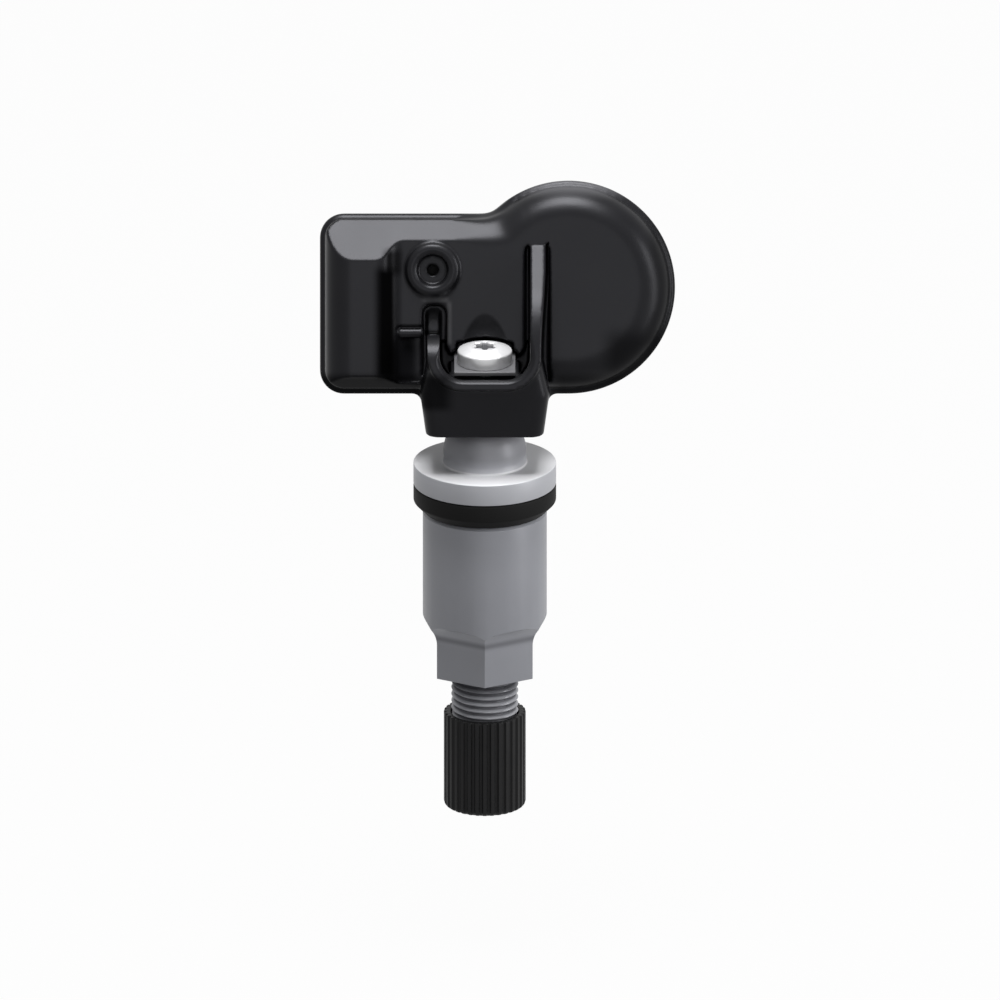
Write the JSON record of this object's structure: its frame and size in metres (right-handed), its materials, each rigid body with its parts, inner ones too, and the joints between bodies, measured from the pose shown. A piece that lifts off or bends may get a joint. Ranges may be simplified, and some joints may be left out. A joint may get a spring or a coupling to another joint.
{
  "type": "clamp-in tyre pressure sensor",
  "caption": "Clamp-in wheel valve with a tilting sensor housing, screwed through a saddle onto the valve's ball neck.",
  "frame": {"origin": "centre of the valve flange's underside, where the valve seats on the wheel rim", "axes": "+Z along the valve axis towards the sensor housing, -Y towards the side with the pressure port"},
  "size_m": [0.0408, 0.0256, 0.0718],
  "materials": {
    "valve_metal": "turned, bead-blasted satin",
    "nut_metal": "turned satin",
    "grommet_rubber": "moulded matt rubber",
    "screw_steel": "bright plated steel",
    "washer_steel": "stamped plated steel",
    "core_brass": "turned brass",
    "core_seal": "red sealing ring",
    "pin_brass": "turned brass",
    "cup_rubber": "moulded rubber",
    "spring_steel": "drawn spring wire",
    "cap_plastic": "moulded black plastic",
    "cap_rubber": "moulded rubber disc",
    "case_plastic": "fine-grained satin black moulding",
    "cover_plastic": "satin black moulding",
    "board_green": "green solder mask",
    "cell_steel": "nickel-plated steel can",
    "tab_nickel": "nickel strip",
    "chip_plastic": "moulded epoxy package",
    "gasket_silicone": "grey silicone",
    "filter_white": "porous white disc",
    "ferrite_grey": "pressed ferrite",
    "copper_wire": "enamelled copper wire",
    "crystal_metal": "metal lid",
    "antenna_brass": "tin-plated strip",
    "part_tan": "ceramic chip parts"
  },
  "bodies": {
    "valve": {"valve_stem": "valve_metal", "grommet": "grommet_rubber", "fixing_screw": "screw_steel", "saddle_washer": "washer_steel", "core_body": "core_brass", "core_gasket": "core_seal", "core_spring": "spring_steel"},
    "core_plunger": {"core_pin": "pin_brass", "core_cup_seal": "cup_rubber"},
    "nut": {"collar_nut": "nut_metal"},
    "cap_carrier": {"cap_seal": "cap_rubber"},
    "cap": {"valve_cap": "cap_plastic"},
    "sensor": {"housing": "case_plastic", "rear_cover": "cover_plastic", "circuit_board": "board_green", "coin_cell": "cell_steel", "battery_tab_front": "tab_nickel", "battery_tab_back": "tab_nickel", "sensor_chip": "chip_plastic", "port_gasket": "gasket_silicone", "port_filter": "filter_white", "coil_core": "ferrite_grey", "coil_winding": "copper_wire", "crystal": "crystal_metal", "antenna": "antenna_brass", "chip_parts": "part_tan"}
  },
  "joints": [
    {"name": "housing_tilt", "type": "hinge", "parent": "valve", "child": "sensor", "pos_m": [0, 0, 0.0039], "axis": [1, 0, 0], "range_deg": [-3, 11]},
    {"name": "nut_slide", "type": "slide", "parent": "valve", "child": "nut", "axis": [0, 0, -1], "range_m": [0, 0.0046]},
    {"name": "cap_lift", "type": "slide", "parent": "valve", "child": "cap_carrier", "axis": [0, 0, -1], "range_m": [0, 0.0095]},
    {"name": "cap_turn", "type": "hinge", "parent": "cap_carrier", "child": "cap", "pos_m": [0, 0, -0.0336], "axis": [0, 0, -1], "range_deg": [0, 4320]},
    {"name": "core_press", "type": "slide", "parent": "valve", "child": "core_plunger", "axis": [0, 0, 1], "range_m": [0, 0.0012], "stiffness_N_per_m": 400, "springref_m": -0.003, "deforming": ["core_spring"]}
  ],
  "couplings": [
    {"joint": "cap_turn", "follows": "cap_lift", "rad_per_m": 7915.8}
  ]
}
